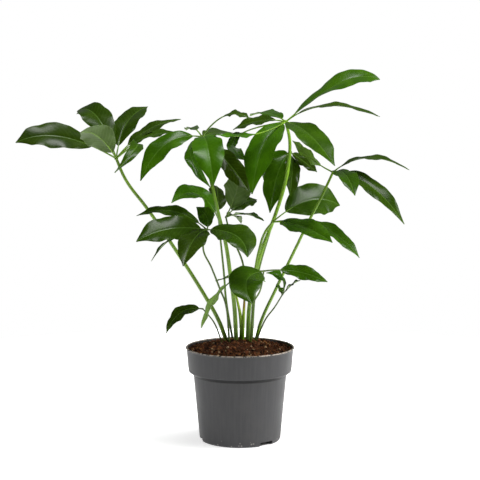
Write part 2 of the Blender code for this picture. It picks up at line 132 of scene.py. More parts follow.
# What the finer leaves add, in millimetres
SHEET = 0.55
ROWS = 54
COLUMNS = 24
VEIN_SPACING = 7.5
VEIN_SLANT = 0.75
VEIN_BEND = 0.012
QUILT = 0.10
GROOVE_DEPTH = 0.35
GROOVE_WIDTH = 0.9
RIPPLE_HEIGHT = 0.35
RIPPLES = 7.3
RIB_RADIUS = 0.75
RIB_END_RADIUS = 0.22
STEM_RIDGES = 5
STEM_RIDGE_HEIGHT = 0.035
STEM_SIDES = 20
STALK_SIDES = 8
STALK_STEPS = 26
RIB_END = 0.985
PATH_PIECES = 10
VEIN_START = 50.5    # keeps the vein count above zero, with a vein where its fraction is 0
HUB_LUMPS = 0.12

# Where a colour begins and where it is full, in metres: heights, but for the first, which is along x
SHOOT_TIP_SIDE = (0.002, 0.005)
SHOOT_TIP = (0.198, 0.212)
SHOOT_PALE = (0.150, 0.235)
STEM_FOOT = (0.172, 0.150)
POT_DIRT = (0.014, 0.003)
LIP_PALE_LINE = ((POT_HEIGHT - 1.7) * MM, (POT_HEIGHT - 0.6) * MM)

# Painted shade under the pot's band, drawn as a dark line, in metres: its height, and how far from there it
# begins and is full
PAINTED_LEDGE_SHADE = (LEDGE_LEVEL + 2.0) * MM
PAINTED_LEDGE_SHADE_REACH = (0.0036, 0.0022)


def leaflet(tip, face, width, stalk, bow, twist=0.0, tone=0.0):
    """One leaflet, from its leaf's hub to its tip.

    The upper side looks towards face, and turns on by the twist from the stalk to the tip. The bow is how far
    the middle of its line stands off the straight one. The tone is how light its green is, from -1 to 1.
    """
    return {"tip": tip, "face": face, "width": width, "stalk": stalk, "bow": bow, "twist": twist,
            "tone": tone}


# A stem's points run from the mix to the leaf's hub. A radius pair is at the mix and at the hub. Most of the
# leaflets' tones weren't chosen by hand: a program worked them out from the photo's brightness.
LEAVES = {
    "leaf_far_left": {
        "stem": [(-23, 20, 158), (-33, 18, 185), (-56, 12, 228), (-107, 0, 311), (-144, -15, 368),
                 (-175, -25, 412), (-189, -30, 445)],
        "radius": (3.5, 2.2),
        "stem_tone": 0.1,
        "leaflets": [
            leaflet((-338, -60, 471), (-0.1, -1.0, 0.9), 50, 32, (-8, 0, 21), tone=-0.8),
            leaflet((-257, 60, 513), (0.2, -0.9, 0.8), 48, 18, (1, 0, 28), tone=-0.7),
            leaflet((-234, -120, 490), (-0.5, 0.8, 1.0), 46, 12, (0, 0, 13), tone=-0.6),
            leaflet((-146, 70, 520), (-0.3, -0.8, 0.7), 42, 20, (-8, 0, 14), tone=-0.7),
            leaflet((-92, 30, 502), (0.0, -0.25, 1.0), 30, 26, (-4, 0, 12), tone=-0.7),
            leaflet((-90, -10, 482), (0.0, -0.22, 1.0), 34, 28, (-4, 0, 14), tone=-0.5),
            leaflet((-183, -140, 432), (0.5, -0.5, 0.8), 20, 22, (34, 0, 32), tone=-0.4),
        ],
    },
    "leaf_left_high": {
        "stem": [(-6, 12, 159), (-9, 9, 212), (-15, 2, 261), (-22, -5, 310), (-35, -15, 366),
                 (-43, -23, 404), (-58, -30, 478)],
        "radius": (3.6, 2.4),
        "stem_tone": 0.2,
        "leaflets": [
            leaflet((-39, -122, 412), (0.0, -1.0, 0.6), 49, 14, (0, -8, 22), tone=0.6),
            leaflet((-149, -80, 415), (-0.2, -0.8, 0.9), 40, 14, (-8, 0, 22), tone=0.3),
            leaflet((-44, -92, 406), (-0.85, -0.45, 0.45), 24, 14, (-24, -4, 14), tone=0.8),
            leaflet((-10, 66, 478), (0.1, -0.35, 1.0), 34, 6, (0, 0, 4), tone=-0.6),
            leaflet((15, -46, 506), (0.1, -0.25, 1.0), 28, 36, (0, 0, 19), tone=-0.6),
            leaflet((14, -30, 394), (0.5, -1.0, 0.5), 38, 26, (3, 2, 3), tone=-0.9),
            leaflet((-86, 90, 482), (-0.1, -0.03, 1.0), 20, 40, (0, 0, 8), tone=-0.2),
        ],
    },
    "leaf_top_right": {
        "stem": [(12, 22, 157), (16, 22, 218), (33, 20, 293), (55, 17, 353), (71, 15, 407),
                 (76, 14, 438), (77, 12, 471), (71, 10, 499)],
        "radius": (3.4, 2.3),
        "stem_tone": 0.9,
        "leaflets": [
            leaflet((220, 60, 563), (-0.3, -0.5, 0.9), 48, 10, (12, 0, 28), 60, tone=0.2),
            leaflet((212, -40, 509), (0.0, -0.12, 1.0), 34, 22, (-8, 0, 21), tone=-0.6),
            leaflet((140, -112, 440), (0.35, -0.9, 0.9), 50, 8, (-2, 0, 14), tone=-0.2),
            leaflet((18, -80, 395), (-0.5, -1.0, 0.6), 52, 10, (-8, 0, 18), tone=0.6),
            leaflet((16, 100, 504), (0.0, -0.22, 1.0), 36, 12, (0, 0, 9), tone=0.3),
            leaflet((-11, 22, 486), (-0.1, -0.4, 1.0), 34, 16, (0, 0, 8), tone=-0.6),
            leaflet((-39, -62, 484), (0.1, -0.15, 1.0), 26, 62, (4, -20, -9), tone=1.0),
            leaflet((10, 34, 438), (-0.8, -0.6, 0.5), 32, 36, (-46, 0, 6), tone=0.1),
        ],
    },
    "leaf_far_right": {
        "stem": [(26, 27, 156), (33, 26, 182), (56, 24, 234), (85, 19, 296), (111, 15, 351),
                 (126, 15, 380), (145, 20, 420)],
        "radius": (2.8, 1.9),
        "stem_tone": 0.2,
        "leaflets": [
            leaflet((262, 0, 425), (0.0, -0.14, 1.0), 29, 12, (-4, 0, 21), tone=-0.7),
            leaflet((251, -40, 345), (0.6, -0.9, 0.7), 36, 10, (4, 0, 18), tone=-0.6),
            leaflet((173, -70, 392), (0.3, -1.0, 0.5), 36, 12, (2, 0, 14), tone=-0.2),
            leaflet((83, 60, 467), (0.2, 0.6, 0.7), 30, 24, (-2, 0, -4), tone=0.7),
        ],
    },
    "leaf_left_low": {
        "stem": [(-17, 2, 159), (-22, 0, 214), (-31, -15, 241), (-44, -35, 278), (-56, -50, 308),
                 (-50, -70, 340)],
        "radius": (1.7, 1.3),
        "stem_tone": -0.7,
        "leaflets": [
            leaflet((-158, -40, 358), (-0.2, -0.4, 0.9), 27, 14, (2, 0, 18), tone=-0.4),
            leaflet((-154, -112, 327), (-0.3, -0.9, 0.8), 50, 8, (-4, 0, 10), tone=-0.6),
            leaflet((-135, -62, 291), (-0.8, -0.1, 0.8), 24, 18, (-6, 0, 14), tone=-0.2),
            leaflet((-83, -160, 297), (-0.3, -1.0, 0.8), 44, 7, (-2, 0, 12), tone=-0.8),
            leaflet((11, -150, 309), (0.2, -0.8, 0.9), 52, 5, (14, 0, 11), tone=-0.5),
            leaflet((-67, -26, 370), (-0.4, -0.6, 0.7), 26, 6, (8, 0, 2), tone=-0.1),
        ],
    },
    "leaf_right_low": {
        "stem": [(14, 8, 158), (16, 8, 220), (24, 8, 269), (30, 5, 300), (39, 2, 328), (51, 2, 344)],
        "radius": (2.4, 1.8),
        "stem_tone": 0.2,
        "leaflets": [
            leaflet((161, 100, 360), (0.1, -1.0, 0.55), 60, 25, (4, 6, 20), tone=-0.4),
            leaflet((138, -98, 324), (0.1, -0.7, 0.9), 42, 18, (0, 0, 9), tone=0.3),
            leaflet((183, -38, 293), (0.3, -0.5, 0.9), 36, 44, (9, -8, 21), tone=0.2),
        ],
    },
    "leaf_front_low": {
        "stem": [(17, -4, 160), (19, -14, 195), (20, -30, 220), (31, -50, 245), (36, -70, 277)],
        "radius": (1.6, 1.2),
        "stem_tone": -0.6,
        "leaflets": [
            leaflet((133, -60, 259), (0.1, -0.8, 0.8), 28, 26, (0, 0, 8), tone=0.1),
            leaflet((18, -160, 242), (-0.1, -1.0, 0.7), 56, 5, (-17, -4, 10), tone=-0.3),
            leaflet((-59, -80, 190), (-0.4, 0.4, 0.9), 26, 62, (-10, 0, 22), tone=-0.1),
            leaflet((-38, -64, 261), (0.0, 0.1, 1.0), 20, 30, (0, 0, 2), tone=-0.1),
        ],
    },
    "leaf_inner_right": {
        "stem": [(18, 38, 154), (26, 44, 247), (45, 50, 318), (61, 58, 365), (73, 65, 403),
                 (80, 70, 448)],
        "radius": (2.8, 2.0),
        "stem_tone": -0.4,
        "leaflets": [
            leaflet((38, 84, 402), (-0.6, -0.8, 0.6), 38, 4, (-6, 2, 5), tone=0.4),
            leaflet((122, 62, 417), (0.4, -0.8, 0.8), 26, 4, (0, 0, 1), tone=-0.8),
            leaflet((47, 34, 355), (-0.3, -1.0, 0.3), 42, 10, (-4, -6, 14), tone=0.0),
            leaflet((78, 30, 382), (0.5, -0.9, 0.2), 30, 8, (3, -2, 4), tone=-0.7),
        ],
    },
    "leaf_centre": {
        "stem": [(-12, 24, 157), (-22, 20, 219), (-25, 16, 259), (-28, 12, 291), (-31, 9, 322),
                 (-33, 8, 347)],
        "radius": (1.8, 1.4),
        "stem_tone": -0.2,
        "leaflets": [
            leaflet((-103, -72, 381), (-0.2, -0.8, 0.75), 41, 10, (2, 4, 27), tone=0.8),
            leaflet((-37, 60, 395), (0.6, -0.6, 0.6), 34, 14, (0, 0, 8), tone=-0.9),
        ],
    },
    "leaf_centre_back": {
        "stem": [(5, 32, 155), (7, 27, 233), (5, 22, 274), (-8, 18, 309), (-17, 16, 330), (-22, 15, 350)],
        "radius": (1.8, 1.3),
        "stem_tone": -0.5,
        "leaflets": [
            leaflet((-5, 0, 416), (0.5, 0.9, 0.5), 46, 12, (8, 0, 8), tone=-0.4),
            leaflet((37, -20, 348), (0.0, 0.08, 1.0), 30, 14, (0, 0, 8), tone=-0.4),
            leaflet((2, 80, 333), (0.1, -0.4, 1.0), 22, 12, (0, 0, 8), tone=-0.5),
            leaflet((27, 60, 373), (0.1, -0.5, 1.0), 34, 14, (0, 0, 8), tone=-0.6),
        ],
    },
    "leaf_small_right": {
        "stem": [(27, 4, 159), (39, -8, 191), (54, -25, 215), (65, -40, 236)],
        "radius": (1.3, 1.0),
        "stem_tone": -0.8,
        "leaflets": [
            leaflet((40, -62, 273), (0.7, -0.4, 0.8), 24, 4, (12, 0, 8), tone=0.7),
            leaflet((92, -50, 260), (0.2, -0.2, 1.0), 18, 4, (0, 0, 4), tone=-0.2),
            leaflet((57, -18, 249), (0.6, -0.4, 0.9), 12, 3, (0, 0, 2), tone=-0.2),
        ],
    },
    "leaf_small_left": {
        "stem": [(-30, 2, 159), (-39, -10, 185), (-48, -25, 201), (-57, -40, 214)],
        "radius": (1.2, 1.0),
        "stem_tone": -0.8,
        "leaflets": [
            leaflet((-113, -50, 178), (-0.5, -0.7, 0.8), 26, 5, (-6, 0, 13), tone=-0.7),
        ],
    },
}

# The new shoot: a sheath that splits into two pointed tongues. Points run upwards, each with a radius.
SHOOT_LEFT = [(2, 16, 158), (1, 15, 190), (-5, 13, 222), (-11, 11, 247)]
SHOOT_RIGHT = [(4, 15, 158), (5, 15, 186), (6, 16, 206), (6, 16, 221)]
SHOOT_RADII = (2.9, 2.7, 1.7, 0.6)

# Camera, in metres and millimetres of focal length
CAMERA_PLACE = (0.0, -2.5, 0.62)
CAMERA_AIM = (0.0, 0.0, 0.316)
LENS = 121.47
SENSOR = 36.0

# A lamp's place, what it looks at, its side in metres, power in watts and colour. Gloss doesn't show lamps.
LAMPS = {
    "right": ((2.3, -0.5, 1.0), (0.0, 0.0, 0.25), 1.6, 48.0, (1.0, 0.99, 0.97)),
    "top": ((0.3, 0.1, 2.4), (0.0, 0.0, 0.3), 1.2, 20.0, (1.0, 1.0, 1.0)),
}

# The studio's light from all around: its level in front and behind, the y of the directions between which
# it turns from one to the other, and its soft boxes. A box has its azimuth (0 is the camera's side, 90 the
# right) and elevation, the angles from its middle where it is full and where it ends, all in degrees, and its
# strength.
SKY_FRONT = 0.02
SKY_BACK = 0.14
SKY_TURN = (0.1, 1.0)
SOFT_BOXES = {
    "overhead": (50.0, 78.0, 6.0, 16.0, 11.0),
    "left": (-75.0, 8.0, 5.0, 13.0, 9.0),
    "right": (92.0, 34.0, 4.0, 13.0, 10.0),
}
FLOOR_RADIUS = 1.0
FLOOR_STEPS = 96
FLOOR_GLOW_REACH = (0.10, 0.85)
FLOOR_GLOW = (0.72, 0.90)


def lerp(a, b, t):
    return a + (b - a) * t


def smoothstep(low, high, value):
    t = min(1.0, max(0.0, (value - low) / (high - low)))
    return t * t * (3.0 - 2.0 * t)


def mm_point(point):
    return Vector(point) * MM


def link(obj):
    bpy.context.scene.collection.objects.link(obj)
    return obj


class Form:
    """Points and faces as they are made, with a few numbers at each point for the materials to read."""

    def __init__(self, *marks):
        self.points = []
        self.faces = []
        self.slots = []
        self.marks = {name: [] for name in marks}

    def point(self, place, **values):
        self.points.append(place)
        for name, numbers in self.marks.items():
            numbers.append(values.get(name, 0.0))
        return len(self.points) - 1

    def face(self, corners, slot=0):
        self.faces.append(corners)
        self.slots.append(slot)

    def finish(self, name, materials, angle):
        """The piece with its materials, shaded smooth up to an angle in degrees."""
        mesh = bpy.data.meshes.new(name)
        mesh.from_pydata(self.points, [], self.faces)
        mesh.polygons.foreach_set("material_index", self.slots)
        for mark, numbers in self.marks.items():
            mesh.attributes.new(mark, "FLOAT", "POINT").data.foreach_set("value", numbers)
        for material in materials:
            mesh.materials.append(material)
        shade(mesh, angle)
        return link(bpy.data.objects.new(name, mesh))


def shade(mesh, angle):
    mesh.shade_smooth()
    mesh.set_sharp_from_angle(angle=math.radians(angle))


def stand_for(piece, node):
    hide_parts(node)
    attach(piece, BODY)


# Materials


class Nodes:
    """A node tree, with a short call for each kind of node that this script uses."""

    def __init__(self, tree):
        self.tree = tree

    def feed(self, socket, value):
        if isinstance(value, bpy.types.NodeSocket):
            self.tree.links.new(value, socket)
        elif socket.type == "RGBA":
            socket.default_value = (*value, 1.0)
        else:
            socket.default_value = value

    def attribute(self, name):
        made = self.tree.nodes.new("ShaderNodeAttribute")
        made.attribute_name = name
        return made.outputs["Fac"]

    def place(self):
        """The piece's own coordinates, in metres."""
        return self.tree.nodes.new("ShaderNodeTexCoord").outputs["Object"]

    def split(self, vector):
        made = self.tree.nodes.new("ShaderNodeSeparateXYZ")
        self.feed(made.inputs[0], vector)
        return made.outputs

    def vector(self, x, y, z):
        made = self.tree.nodes.new("ShaderNodeCombineXYZ")
        for socket, value in zip(made.inputs, (x, y, z)):
            self.feed(socket, value)
        return made.outputs[0]

    def math(self, operation, *values):
        made = self.tree.nodes.new("ShaderNodeMath")
        made.operation = operation
        for socket, value in zip(made.inputs, values):
            self.feed(socket, value)
        return made.outputs[0]

    def noise(self, vector, scale, detail=3.0, roughness=0.55):
        made = self.tree.nodes.new("ShaderNodeTexNoise")
        self.feed(made.inputs["Vector"], vector)
        made.inputs["Scale"].default_value = scale
        made.inputs["Detail"].default_value = detail
        made.inputs["Roughness"].default_value = roughness
        return made.outputs[0]

    def cells(self, vector, scale):
        made = self.tree.nodes.new("ShaderNodeTexVoronoi")
        self.feed(made.inputs["Vector"], vector)
        made.inputs["Scale"].default_value = scale
        return made.outputs["Distance"]

    def span(self, value, low, high, to_low=0.0, to_high=1.0):
        """Takes a value from one span to another, and stops at the new span's ends."""
        made = self.tree.nodes.new("ShaderNodeMapRange")
        made.interpolation_type = "SMOOTHSTEP"
        for socket, number in zip(made.inputs, (value, low, high, to_low, to_high)):
            self.feed(socket, number)
        return made.outputs[0]

    def mix(self, share, a, b, kind="MIX"):
        made = self.tree.nodes.new("ShaderNodeMix")
        made.data_type = "RGBA"
        made.blend_type = kind
        self.feed(made.inputs["Factor"], share)
        self.feed(made.inputs[6], a)
        self.feed(made.inputs[7], b)
        return made.outputs[2]

    def bump(self, height, strength, distance):
        made = self.tree.nodes.new("ShaderNodeBump")
        made.inputs["Strength"].default_value = strength
        made.inputs["Distance"].default_value = distance
        self.feed(made.inputs["Height"], height)
        return made.outputs[0]


class Shader(Nodes):
    """A material's nodes, which end in one surface."""

    def __init__(self, name):
        self.material = bpy.data.materials.new(name)
        self.material.use_nodes = True
        super().__init__(self.material.node_tree)
        self.surface = self.tree.nodes["Principled BSDF"]

    def surface_is(self, **values):
        for name, value in values.items():
            self.feed(self.surface.inputs[name.replace("_", " ")], value)


def leaf_marks(shader):
    """The masks that both sides of a blade share: its midrib, side veins, edge and tone."""
    rib_distance = shader.math("ABSOLUTE", shader.attribute("across"))
    rib = shader.span(rib_distance, 1.3, 0.35)
    vein_place = shader.math("FRACT", shader.attribute("vein"))
    off_vein = shader.math("ABSOLUTE", shader.math("SUBTRACT", vein_place, 0.5))
    vein = shader.span(off_vein, 0.40, 0.5)
    edge = shader.span(shader.attribute("edge"), 0.93, 1.0)
    tone = shader.math("MULTIPLY_ADD", shader.attribute("tone"), 0.5, 0.5)
    return rib, vein, edge, tone


def upper_side():
    shader = Shader("leaf_upper_side")
    rib, vein, edge, tone = leaf_marks(shader)
    place = shader.place()
    cloud = shader.noise(place, 38.0, 3.0)
    fine = shader.noise(place, 900.0, 2.0)
    green = shader.mix(tone, (0.021, 0.038, 0.001), (0.056, 0.176, 0.002))
    patch = shader.mix(shader.span(cloud, 0.35, 0.70), (0.75, 0.80, 0.75), (1.15, 1.12, 1.1))
    green = shader.mix(1.0, green, patch, "MULTIPLY")
    green = shader.mix(shader.math("MULTIPLY", vein, 0.16), green, (0.10, 0.22, 0.03))
    green = shader.mix(shader.math("MULTIPLY", edge, 0.25), green, (0.10, 0.20, 0.02))
    green = shader.mix(shader.math("MULTIPLY", rib, 0.30), green, (0.14, 0.28, 0.04))
    rough = shader.span(cloud, 0.3, 0.7, 0.20, 0.28)
    relief = shader.math("MULTIPLY_ADD", vein, -0.6, shader.math("MULTIPLY", fine, 0.10))
    shader.surface_is(Base_Color=green, Roughness=rough, Normal=shader.bump(relief, 0.15, 0.0003), IOR=1.45,
                      Specular_IOR_Level=0.26)
    return shader.material


def under_side():
    shader = Shader("leaf_under_side")
    rib, vein, edge, tone = leaf_marks(shader)
    place = shader.place()
    cloud = shader.noise(place, 45.0, 3.0)
    fine = shader.noise(place, 700.0, 2.0)
    green = shader.mix(tone, (0.040, 0.066, 0.016), (0.170, 0.330, 0.030))
    patch = shader.mix(shader.span(cloud, 0.35, 0.70), (0.86, 0.86, 0.86), (1.1, 1.1, 1.1))
    green = shader.mix(1.0, green, patch, "MULTIPLY")
    green = shader.mix(shader.math("MULTIPLY", vein, 0.25), green, (0.22, 0.30, 0.13))
    green = shader.mix(shader.math("MULTIPLY", edge, 0.25), green, (0.20, 0.28, 0.10))
    green = shader.mix(shader.math("MULTIPLY", rib, 0.5), green, (0.26, 0.36, 0.13))
    relief = shader.math("MULTIPLY_ADD", vein, 0.5, shader.math("MULTIPLY", fine, 0.3))
    shader.surface_is(Base_Color=green, Roughness=0.48, Normal=shader.bump(relief, 0.35, 0.0004), IOR=1.42,
                      Specular_IOR_Level=0.3)
    return shader.material


def stalk_skin():
    shader = Shader("leaf_stalk")
    x, y, z = shader.split(shader.place())
    streaks = shader.noise(shader.vector(x, y, shader.math("MULTIPLY", z, 0.06)), 900.0, 2.0)
    cloud = shader.noise(shader.place(), 30.0, 2.0)
    tone = shader.math("MULTIPLY_ADD", shader.attribute("tone"), 0.5, 0.5)
    green = shader.mix(tone, (0.035, 0.060, 0.012), (0.260, 0.500, 0.030))
    patch = shader.mix(shader.span(cloud, 0.35, 0.70), (0.80, 0.80, 0.80), (1.15, 1.12, 1.0))
    green = shader.mix(1.0, green, patch, "MULTIPLY")
    green = shader.mix(shader.span(streaks, 0.50, 0.75, 0.0, 0.30), green, (0.20, 0.30, 0.08))
    foot = shader.span(z, *STEM_FOOT)
    green = shader.mix(shader.math("MULTIPLY", foot, 0.5), green, (0.10, 0.075, 0.03))
    shader.surface_is(Base_Color=green, Roughness=0.36, Normal=shader.bump(streaks, 0.25, 0.0003), IOR=1.45)
    return shader.material


def shoot_skin():
    shader = Shader("new_shoot_skin")
    x, y, z = shader.split(shader.place())
    streaks = shader.noise(shader.vector(x, y, shader.math("MULTIPLY", z, 0.05)), 1100.0, 2.0)
    green = shader.mix(shader.span(z, *SHOOT_PALE), (0.200, 0.400, 0.016), (0.450, 0.620, 0.040))
    green = shader.mix(shader.span(streaks, 0.45, 0.75, 0.0, 0.45), green, (0.10, 0.22, 0.015))
    right_tip = shader.math("MULTIPLY", shader.span(x, *SHOOT_TIP_SIDE), shader.span(z, *SHOOT_TIP))
    green = shader.mix(right_tip, green, (0.400, 0.230, 0.025))
    shader.surface_is(Base_Color=green, Roughness=0.38, Normal=shader.bump(streaks, 0.3, 0.0003), IOR=1.45)
    return shader.material


def pot_skin():
    shader = Shader("grey_pot_plastic")
    place = shader.place()
    x, y, z = shader.split(place)
    turn = shader.math("ARCTAN2", y, x)
    around = shader.math("MULTIPLY", turn, 9.0)
    streaks = shader.noise(shader.vector(around, shader.math("MULTIPLY", z, 8.0), 0.0), 2.2, 4.0)
    cloud = shader.noise(place, 22.0, 3.0)
    fine = shader.noise(place, 1500.0, 2.0)
    # painted shade under the ledge: the mask of the dark line
    off_ledge_shade = shader.math("ABSOLUTE", shader.math("SUBTRACT", z, PAINTED_LEDGE_SHADE))
    corner = shader.span(off_ledge_shade, *PAINTED_LEDGE_SHADE_REACH)
    grey = shader.mix(shader.span(streaks, 0.35, 0.70), (0.051, 0.051, 0.053), (0.058, 0.058, 0.060))
    grey = shader.mix(shader.span(cloud, 0.45, 0.75, 0.0, 0.35), grey, (0.076, 0.074, 0.073))
    low = shader.span(z, *POT_DIRT)
    specks = shader.math("MULTIPLY", shader.span(shader.cells(place, 130.0), 0.22, 0.12), low)
    grey = shader.mix(shader.math("MULTIPLY", specks, 0.55), grey, (0.36, 0.34, 0.31))
    # a pale broken line along the top of the lip
    lip = shader.span(z, *LIP_PALE_LINE)
    broken = shader.span(shader.noise(place, 160.0, 3.0, 0.7), 0.42, 0.50)
    pale_lip_line = shader.math("MULTIPLY", lip, broken)
    grey = shader.mix(shader.math("MULTIPLY", pale_lip_line, 0.90), grey, (0.55, 0.47, 0.40))
    # painted shade: a near-black line under the band's ledge, where shadow falls
    grey = shader.mix(shader.math("MULTIPLY", corner, 0.90), grey, (0.010, 0.010, 0.010))
    rough = shader.span(cloud, 0.3, 0.7, 0.40, 0.52)
    relief = shader.math("MULTIPLY_ADD", streaks, 0.5, shader.math("MULTIPLY", fine, 0.2))
    shader.surface_is(Base_Color=grey, Roughness=rough, Normal=shader.bump(relief, 0.15, 0.0004),
                      Specular_IOR_Level=0.2)
    return shader.material


def soil_skin():
    shader = Shader("potting_mix")
    place = shader.place()
    loose = shader.attribute("loose")
    shade = shader.attribute("shade")
    lumps = shader.noise(place, 260.0, 4.0, 0.7)
    ground = shader.mix(shader.span(lumps, 0.35, 0.70), (0.018, 0.008, 0.005), (0.115, 0.038, 0.016))
    crumb = shader.mix(shader.span(shade, 0.0, 0.6), (0.018, 0.008, 0.005), (0.135, 0.044, 0.018))
    crumb = shader.mix(shader.span(shade, 0.6, 0.85), crumb, (0.230, 0.095, 0.035))
    crumb = shader.mix(shader.span(shade, 0.93, 0.98), crumb, (0.480, 0.330, 0.200))
    brown = shader.mix(loose, ground, crumb)
    fine = shader.noise(place, 1200.0, 3.0, 0.7)
    relief = shader.math("ADD", lumps, shader.math("MULTIPLY", fine, 0.5))
    shader.surface_is(Base_Color=brown, Roughness=0.92, Specular_IOR_Level=0.25,
                      Normal=shader.bump(relief, 0.8, 0.001))
    return shader.material


# Forms


def lathe(form, profile, steps, height_at=None):
    """Turns a profile of (radius, height) pairs in millimetres, down its outside, into a closed skin.

    A point on the axis becomes a pole. The profile is a loop, or starts and ends on the axis.
    """
    rings = []
    for radius, height in profile:
        ring = []
        for i in range(steps if radius > POLE_RADIUS else 1):
            turn = TWO_PI * i / steps
            x, y = radius * math.cos(turn), radius * math.sin(turn)
            level = height if height_at is None else height_at(x, y, height)
            ring.append(form.point((x * MM, y * MM, level * MM)))
        rings.append(ring)
    for number, ring in enumerate(rings):
        after = rings[(number + 1) % len(rings)]
        if len(ring) == 1 and len(after) == 1:
            continue
        for i in range(steps):
            corners = [ring[i % len(ring)], after[i % len(after)],
                       after[(i + 1) % len(after)], ring[(i + 1) % len(ring)]]
            form.face(tuple(dict.fromkeys(corners)))


def rounded(profile, radius, keep, steps=3):
    """The profile with each corner not in keep cut back and drawn as a small arc."""
    result = []
    count = len(profile)
    for i, corner in enumerate(profile):
        here = Vector(corner)
        if i in keep:
            result.append(corner)
            continue
        before = Vector(profile[i - 1])
        after = Vector(profile[(i + 1) % count])
        back = min(radius, 0.42 * (before - here).length)
        on = min(radius, 0.42 * (after - here).length)
        start = here + (before - here).normalized() * back
        end = here + (after - here).normalized() * on
        for k in range(steps + 1):
            t = k / steps
            result.append(tuple(start * (1 - t) ** 2 + here * 2 * t * (1 - t) + end * t * t))
    return result


def sweep(form, path, radii, sides, slot=0, ridges=0.0, **marks):
    """A tube along a path with closed ends, made of quads with a fan at each end."""
    before = (path[1] - path[0]).normalized()
    normal = before.orthogonal().normalized()
    rings = []
    last = len(path) - 1
    for i, (point, radius) in enumerate(zip(path, radii)):
        along = (path[min(i + 1, last)] - path[max(i - 1, 0)]).normalized()
        normal = before.rotation_difference(along) @ normal
        before = along
        other = along.cross(normal)
        ring = []
        for k in range(sides):
            turn = TWO_PI * k / sides
            reach = radius * (1.0 + ridges * math.cos(STEM_RIDGES * turn))
            place = point + (normal * math.cos(turn) + other * math.sin(turn)) * reach
            ring.append(form.point(place, **marks))
        rings.append(ring)
    for ring, after in zip(rings, rings[1:]):
        for k in range(sides):
            form.face((ring[k], ring[(k + 1) % sides], after[(k + 1) % sides], after[k]), slot)
    low = form.point(path[0], **marks)
    high = form.point(path[-1], **marks)
    for k in range(sides):
        form.face((rings[0][(k + 1) % sides], rings[0][k], low), slot)
        form.face((rings[-1][k], rings[-1][(k + 1) % sides], high), slot)


def ball(subdivisions):
    """The points and faces of a unit ball of triangles."""
    form = bmesh.new()
    bmesh.ops.create_icosphere(form, subdivisions=subdivisions, radius=1.0)
    form.verts.index_update()
    points = [vertex.co.copy() for vertex in form.verts]
    faces = [tuple(vertex.index for vertex in face.verts) for face in form.faces]
    form.free()
    return points, faces


def add_ball(form, template, place_of, slot=0, **marks):
    """A copy of a ball with each of its points put where place_of says."""
    points, faces = template
    first = len(form.points)
    for point in points:
        form.point(place_of(point), **marks)
    for face in faces:
        form.face(tuple(first + corner for corner in face), slot)


def smooth_path(points, pieces):
    """Points along the smooth curve through the knots, by the same rule as the solids' stems."""
    curve = bpy.data.curves.new("path", "CURVE")
    curve.dimensions = "3D"
    curve.resolution_u = pieces
    line = curve.splines.new("BEZIER")
    line.bezier_points.add(len(points) - 1)
    for knot, point in zip(line.bezier_points, points):
        knot.co = point
        knot.handle_left_type = "AUTO"
        knot.handle_right_type = "AUTO"
    obj = link(bpy.data.objects.new("path", curve))
    view = bpy.context.evaluated_depsgraph_get()
    view.update()
    mesh = bpy.data.meshes.new_from_object(obj.evaluated_get(view))
    path = [vertex.co.copy() for vertex in mesh.vertices]
    bpy.data.meshes.remove(mesh)
    bpy.data.objects.remove(obj, do_unlink=True)
    bpy.data.curves.remove(curve)
    return path


def buried(points):
    """A stem's points with one more below, where it stands in the mix."""
    foot = mm_point(points[0])
    along = (mm_point(points[1]) - foot).normalized()
    return [foot - along * STEM_DEPTH * MM] + [mm_point(p) for p in points]


# Pot


def pot_outer_radius(z):
    """The lower wall's outer radius at a height, both in millimetres."""
    return lerp(FOOT_RADIUS, WALL_TOP_RADIUS, z / LEDGE_LEVEL)


def pot_profile():
    """The pot's section: lip, band, ledge and wall down the outside, floor, then up the inside."""
    band_top = POT_HEIGHT - LIP_BEAD
    band_foot = band_top - BAND_HEIGHT
    outside = [
        (LIP_RADIUS - LIP_ROUNDING, POT_HEIGHT),
        (LIP_RADIUS, POT_HEIGHT - LIP_ROUNDING),
        (LIP_RADIUS, band_top + LIP_ROUNDING / 2.0),
        (BAND_TOP_RADIUS, band_top - LIP_ROUNDING),
        (BAND_BOTTOM_RADIUS, band_foot + SOFT_EDGE),
        (BAND_BOTTOM_RADIUS - SOFT_EDGE, band_foot),
        (WALL_TOP_RADIUS + SOFT_EDGE / 2.0, LEDGE_LEVEL + SOFT_EDGE / 2.0),
        (WALL_TOP_RADIUS, LEDGE_LEVEL),
        (pot_outer_radius(FOOT_ROUNDING), FOOT_ROUNDING),
        (FOOT_RADIUS - SOFT_EDGE, SOFT_EDGE),
        (FOOT_RADIUS - FOOT_ROUNDING, 0.0),
        (0.0, 0.0),
    ]
    inside = [
        (0.0, FLOOR),
        (FOOT_RADIUS - FOOT_ROUNDING - WALL, FLOOR),
        (pot_outer_radius(FOOT_ROUNDING + FLOOR) - WALL, FOOT_ROUNDING + FLOOR),
        (WALL_TOP_RADIUS - WALL, LEDGE_LEVEL + SOFT_EDGE),
        (BAND_BOTTOM_RADIUS - WALL, band_foot + 2.0 * SOFT_EDGE),
        (BAND_TOP_RADIUS - WALL, POT_HEIGHT - LIP_ROUNDING),
        (BAND_TOP_RADIUS - WALL + LIP_ROUNDING, POT_HEIGHT),
    ]
    poles = {len(outside) - 1, len(outside)}
    return rounded(outside + inside, CORNER_ROUNDING, poles)


